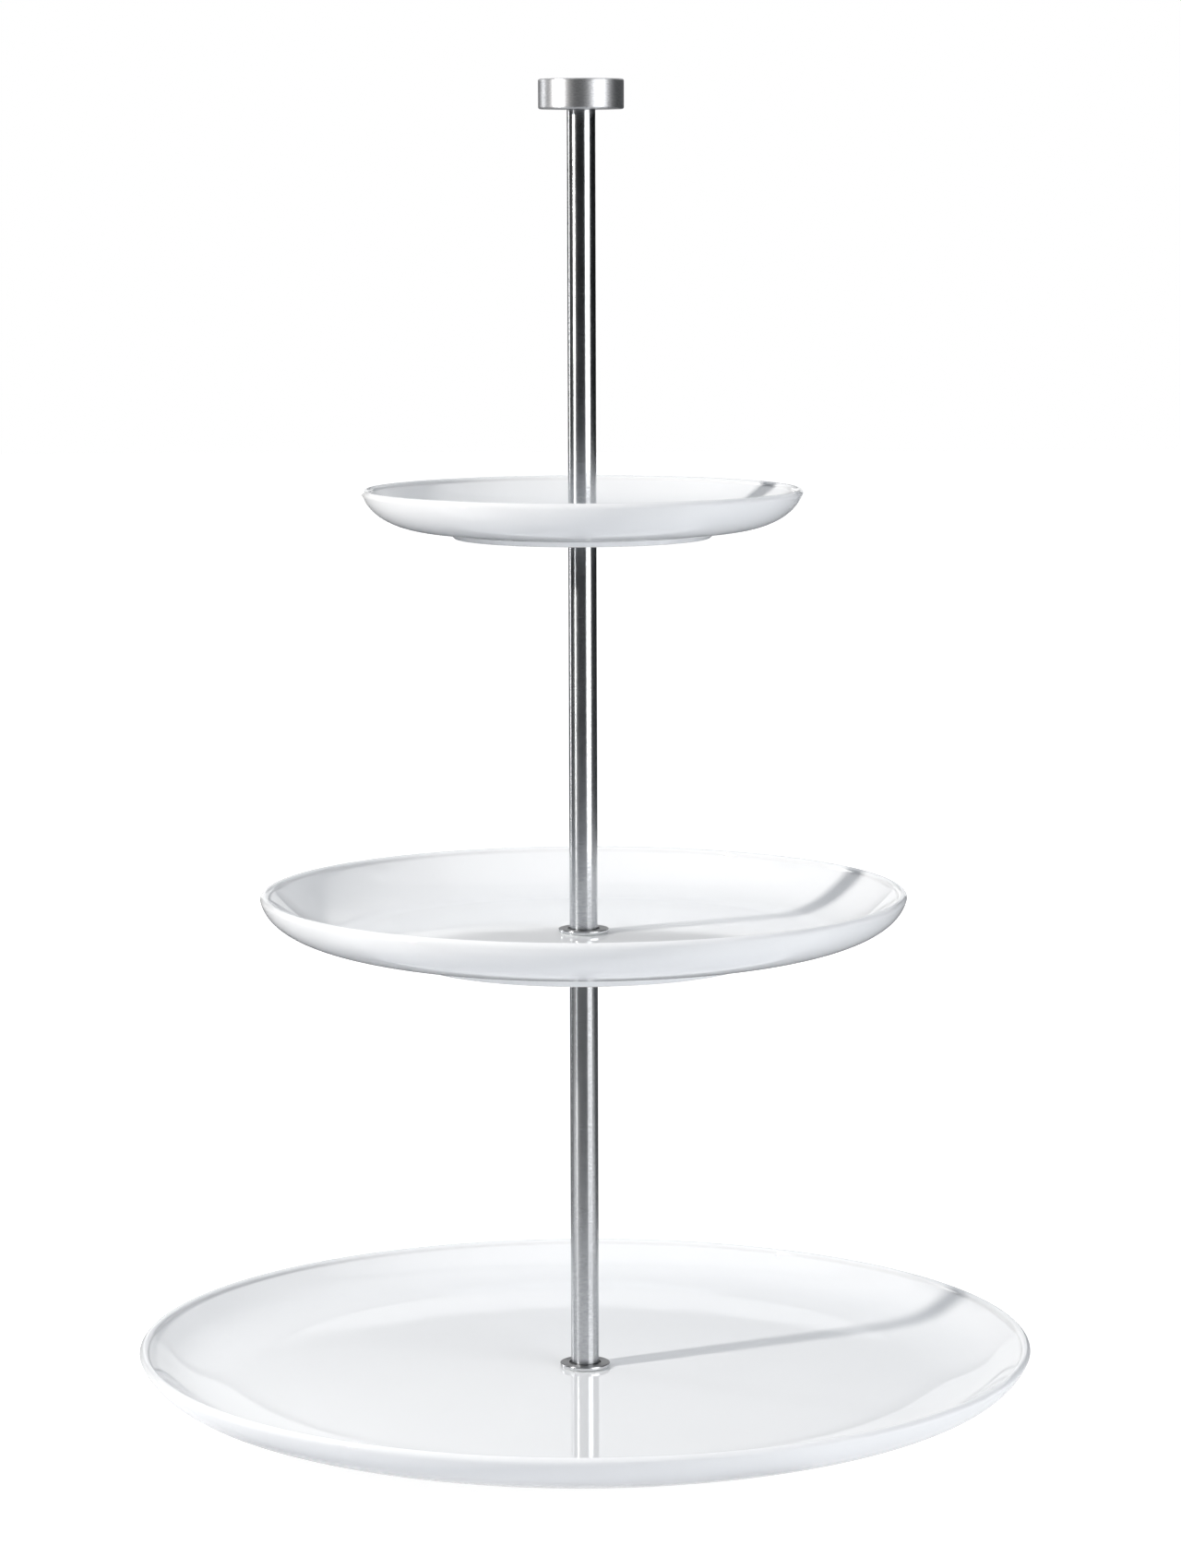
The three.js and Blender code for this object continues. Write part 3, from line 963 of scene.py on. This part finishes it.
def sheet_share(tree, x, y, spread):
    """How much of the white sheet gloss sees: a rectangle with a dark wedge in front, which
    opens at its own slope to either side but leaves out what lies under the stand, and a dim
    part behind."""
    aside = node_math(tree, "ABSOLUTE", x)
    in_width = eased(tree, aside, SHEET_HALF, SHEET_HALF + SHEET_SOFT, 1.0, 0.0)
    in_front = eased(tree, y, SHEET_FRONT, SHEET_FRONT + SHEET_SOFT, 0.0, 1.0)
    in_back = eased(tree, y, SHEET_BACK, SHEET_BACK + SHEET_SOFT, 1.0, 0.0)
    to_right = node_math(tree, "MULTIPLY", x, WEDGE_RIGHT)
    to_left = node_math(tree, "MULTIPLY", x, -WEDGE_LEFT)
    beside = node_math(tree, "ADD", node_math(tree, "MAXIMUM", to_right, to_left), y)
    clear_of_wedge = eased(tree, beside, -WEDGE_SOFT, WEDGE_SOFT, WEDGE_SHARE, 1.0)
    under_plate = eased(tree, spread, UNDER_FROM, UNDER_TO, 1.0, 0.0)
    clear_of_wedge = node_math(tree, "MAXIMUM", clear_of_wedge, under_plate)
    behind_share = eased(tree, y, BEHIND_FROM, BEHIND_TO, 1.0, BEHIND_SHARE)
    return product(tree, in_width, in_front, in_back, clear_of_wedge, behind_share)


def table_surface(tree):
    """White table. The camera sees a glow that rises from the stand to full white far away,
    plus a diffuse share with the shadow; gloss sees the sheet and the same share; soft light
    sees a brighter diffuse, with a small glow near the stand and a larger one at its right,
    and a dark left side. From below the camera looks through it."""
    place, x, y, _ = place_of(tree)
    far = tree.nodes.new("ShaderNodeVectorMath")
    far.operation = "LENGTH"
    tree.links.new(place, far.inputs[0])
    spread = far.outputs["Value"]
    camera_ray, gloss_ray = ray_kinds(tree)
    shade = (TABLE_SHADE,) * 3
    dark = shader_node(tree, "ShaderNodeBsdfDiffuse", (FLOOR_DARK,) * 3)

    rise = eased(tree, spread, GLOW_FROM, GLOW_TO, TABLE_GLOW_NEAR, TABLE_GLOW_FAR)
    looked_at = glow_and_shade(tree, rise, shade)

    on_sheet = sheet_share(tree, x, y, spread)
    sheet_glow = node_math(tree, "MULTIPLY", on_sheet, REFLECTED_GLOW)
    glossy = shader_mix(tree, on_sheet, dark, glow_and_shade(tree, sheet_glow, shade))

    near = eased(tree, spread, BOUNCE_FROM, BOUNCE_TO, BOUNCE_GLOW, 0.0)
    right = eased(tree, x, 0.0, BOUNCE_RIGHT_TO, 0.0, BOUNCE_RIGHT)
    within = eased(tree, spread, BOUNCE_TO, 2 * BOUNCE_TO, 1.0, 0.0)
    bounce = node_math(tree, "ADD", near, product(tree, right, within))
    lit_side = eased(tree, x, DARK_SIDE - DARK_SIDE_SOFT, DARK_SIDE, 0.0, 1.0)
    soft = shader_mix(tree, lit_side, dark, glow_and_shade(tree, bounce, TABLE_BOUNCE))

    other = shader_mix(tree, gloss_ray, soft, glossy)
    top = shader_mix(tree, camera_ray, other, looked_at)
    below = tree.nodes.new("ShaderNodeNewGeometry").outputs["Backfacing"]
    clear = shader_node(tree, "ShaderNodeBsdfTransparent")
    return shader_mix(tree, product(tree, below, camera_ray), top, clear)


def stage_piece(name, points, faces, material, unseen=False):
    """A piece of the studio. An unseen one shows in gloss only, and throws no shadow."""
    mesh = bpy.data.meshes.new(name)
    mesh.from_pydata(points.tolist(), [], faces)
    mesh.update()
    mesh.materials.append(material)
    thing = bpy.data.objects.new(name, mesh)
    scene.collection.objects.link(thing)
    thing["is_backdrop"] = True
    if unseen:
        thing.visible_camera = False
        thing.visible_diffuse = False
        thing.visible_shadow = False


table_points = TABLE_HALF * np.array([[-1, -1, 0], [1, -1, 0], [1, 1, 0], [-1, 1, 0]])
white_table = simple_material("white_table", table_surface)
stage_piece("table", table_points, [[0, 1, 2, 3]], white_table)
print("table", 2 * TABLE_HALF, "m wide")

# %% The wall and the soft light
# the levels of the wall in gloss, and the angles above the horizon between which each begins
WALL_FOOT, WALL_LOW, WALL_HIGH, CEILING = 0.35, 0.58, 0.80, 0.35
LOW_RISE, HIGH_RISE, CEILING_FALL = (10, 13), (13.8, 15.2), (45, 55)
SOFT_LIGHT, SOFT_BEHIND, SOFT_RISE = 0.30, 0.9, (15, 25)
SOFT_COLOUR = (0.90, 1.0, 1.12)

world = bpy.data.worlds.new("studio")
scene.world = world
world.use_nodes = True
tree = world.node_tree
tree.nodes.clear()
_, _, toward_back, upward = place_of(tree, "Generated")
camera_ray, gloss_ray = ray_kinds(tree)


def by_elevation(angles, low, high):
    """low below the first angle, high above the second, smooth between."""
    start, end = (math.sin(math.radians(angle)) for angle in angles)
    return eased(tree, upward, start, end, low, high)


wall = product(
    tree,
    by_elevation(HIGH_RISE, WALL_LOW, WALL_HIGH),
    by_elevation(CEILING_FALL, 1.0, CEILING / WALL_HIGH),
    by_elevation(LOW_RISE, WALL_FOOT / WALL_LOW, 1.0),
    gloss_ray,
)
seen_level = node_math(tree, "MAXIMUM", camera_ray, wall)
from_behind = node_math(tree, "MULTIPLY", toward_back, SOFT_BEHIND)
soft_level = node_math(tree, "ADD", from_behind, 1.0)
soft_level = product(tree, soft_level, by_elevation(SOFT_RISE, 0.0, SOFT_LIGHT))
seen = shader_node(tree, "ShaderNodeBackground", (1, 1, 1), seen_level)
soft = shader_node(tree, "ShaderNodeBackground", SOFT_COLOUR, soft_level)
either = node_math(tree, "MAXIMUM", camera_ray, gloss_ray)
output = tree.nodes.new("ShaderNodeOutputWorld")
tree.links.new(shader_mix(tree, either, soft, seen), output.inputs["Surface"])
print("wall levels in gloss", WALL_FOOT, WALL_LOW, WALL_HIGH, CEILING)

# %% The card behind the stand
CARD_BACK, CARD_HALF, CARD_STEPS = 2.1, 0.62, 41
CARD_TOP, CARD_ARCH, CARD_HIGHEST = 0.507, 0.5, 0.9
CARD_WHITE = 1.0


def upright_sheet(x, y, low, high):
    """Points and faces of a sheet that stands between two levels over the line (x, y)."""
    count = len(x)
    low, high = np.broadcast_to(low, count), np.broadcast_to(high, count)
    points = np.concatenate([np.stack([x, y, low], -1), np.stack([x, y, high], -1)])
    i = np.arange(count - 1)
    return points, np.stack([i, i + 1, i + 1 + count, i + count], -1).tolist()


def glowing(tree):
    return shader_node(tree, "ShaderNodeEmission", (1, 1, 1), CARD_WHITE)


card_x = np.linspace(-CARD_HALF, CARD_HALF, CARD_STEPS)
card_top = np.minimum(CARD_TOP + CARD_ARCH * card_x**2, CARD_HIGHEST)
card = upright_sheet(card_x, np.full(CARD_STEPS, CARD_BACK), 0.0, card_top)
stage_piece("back_card", *card, simple_material("glowing_card", glowing), unseen=True)
print("card", 2 * CARD_HALF, "m wide")

# %% [markdown]
# ## Lamps and screens
#
# A direction round the stand is given as an angle from the camera: 0 is towards the camera,
# plus is to its right. A lamp is a rectangle that faces the pole. Its brightness is set as
# radiance, so that a lamp of 1 looks as bright as the white wall; Blender wants the power in
# watts, which is radiance times pi times area.
#
# A small strong lamp stands on the left: it draws the thin shadow of the pole across each
# plate. A tall strip at the same angle, for gloss only, carries its glint along the tube. A
# large box on the right lifts the shadows. Its soft light and its reflection are lamps of
# their own, because the plate floors mirror its upper part when they are seen from behind:
# there the strong reflection is kept for steel by light linking. Smaller lamps stand high at
# the right, low behind on the left, and overhead. Curved dark screens stand on the camera's
# side and, lower, at both flanks, so that the steel has something dark to show next to the
# lamps. None of the lamps or screens is seen by the camera.

# %% Place the lamps
KEY_RADIANCE, KEY_STRIP = 1230.0, 5.0
KEY_COLOUR = (1.0, 0.98, 0.95)


def around(angle_deg, distance, height):
    """The point at that angle from the camera's side, distance and height."""
    angle = math.radians(angle_deg)
    return Vector((distance * math.sin(angle), -distance * math.cos(angle), height))


steel_only = bpy.data.collections.new("steel_pieces")
for piece in (*tubes, *discs, *studs, screw, knob):
    steel_only.objects.link(piece)


def lamp(name, angle_deg, distance, height, size, radiance, aim_height, colour=(1, 1, 1), gives=""):
    """A rectangular lamp whose face looks at the pole at aim_height. It gives soft light and
    gloss to everything, or only what `gives` says: soft light, gloss, or gloss on steel."""
    data = bpy.data.lights.new(name, "AREA")
    data.shape = "RECTANGLE"
    data.size, data.size_y = size
    data.energy = radiance * math.pi * size[0] * size[1]
    data.color = colour
    thing = bpy.data.objects.new(name, data)
    thing.location = around(angle_deg, distance, height)
    aim = Vector((0, 0, aim_height)) - thing.location
    thing.rotation_euler = aim.to_track_quat("-Z", "Y").to_euler()
    thing.visible_camera = False
    thing.visible_glossy = gives != "soft"
    thing.visible_diffuse = not gives.startswith("gloss")
    if gives == "gloss on steel":
        thing.light_linking.receiver_collection = steel_only
    scene.collection.objects.link(thing)


# name, angle, distance, height, size, radiance and aim height
lamp("key_lamp", -63, 0.95, 0.65, (0.05, 0.05), KEY_RADIANCE, 0.2, KEY_COLOUR)
lamp("key_strip", -63, 0.95, 0.3, (0.05, 0.6), KEY_STRIP, 0.3, gives="gloss")
lamp("right_box", 50, 1.3, 0.55, (0.95, 1.1), 2.9, 0.25, gives="soft")
lamp("right_box_foot", 50, 1.3, 0.165, (0.95, 0.33), 3.2, 0.165, gives="gloss")
lamp("right_box_head", 50, 1.3, 0.715, (0.95, 0.77), 0.5, 0.5, gives="gloss")
lamp("right_box_steel", 50, 1.31, 0.715, (0.95, 0.77), 2.7, 0.5, gives="gloss on steel")
lamp("right_high", 75, 1.2, 1.4, (0.8, 0.7), 1.1, 0.25)
lamp("left_sliver", -121, 1.5, 0.4, (0.2, 1.2), 5.0, 0.25)
lamp("top_box", 180, 0.5, 1.7, (1.6, 1.2), 0.62, 0.2)

# %% Place the dark screens
SCREEN_STEPS, SCREEN_DISTANCE, SCREEN_GREY = 25, 2.3, 0.01
SCREEN_FOOT, FRONT_TOP, FLANK_TOP = -0.05, 3.0, 0.9


def dark_cloth(tree):
    return shader_node(tree, "ShaderNodeBsdfDiffuse", (SCREEN_GREY,) * 3)


def screen(name, from_deg, to_deg, top):
    """An upright curved dark screen between two directions round the stand: its line is
    (d sin a, -d cos a) for even angles a."""
    angle = np.radians(np.linspace(from_deg, to_deg, SCREEN_STEPS))
    x, y = SCREEN_DISTANCE * np.sin(angle), -SCREEN_DISTANCE * np.cos(angle)
    cloth = upright_sheet(x, y, SCREEN_FOOT, top)
    stage_piece(name, *cloth, simple_material(name, dark_cloth), unseen=True)


screen("front_screen", -135, 135, FRONT_TOP)
screen("left_flank", -163, -135, FLANK_TOP)
screen("right_flank", 135, 163, FLANK_TOP)
print("three dark screens", SCREEN_DISTANCE, "m away")

# %% Gather both boxes
seen_low, seen_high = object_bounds()
sizes = {
    "cad": [list(cad_low), list(cad_high)],
    "visual": [list(seen_low), list(seen_high)],
}
print("visual", [round(size / MM, 1) for size in seen_high - seen_low], "mm")
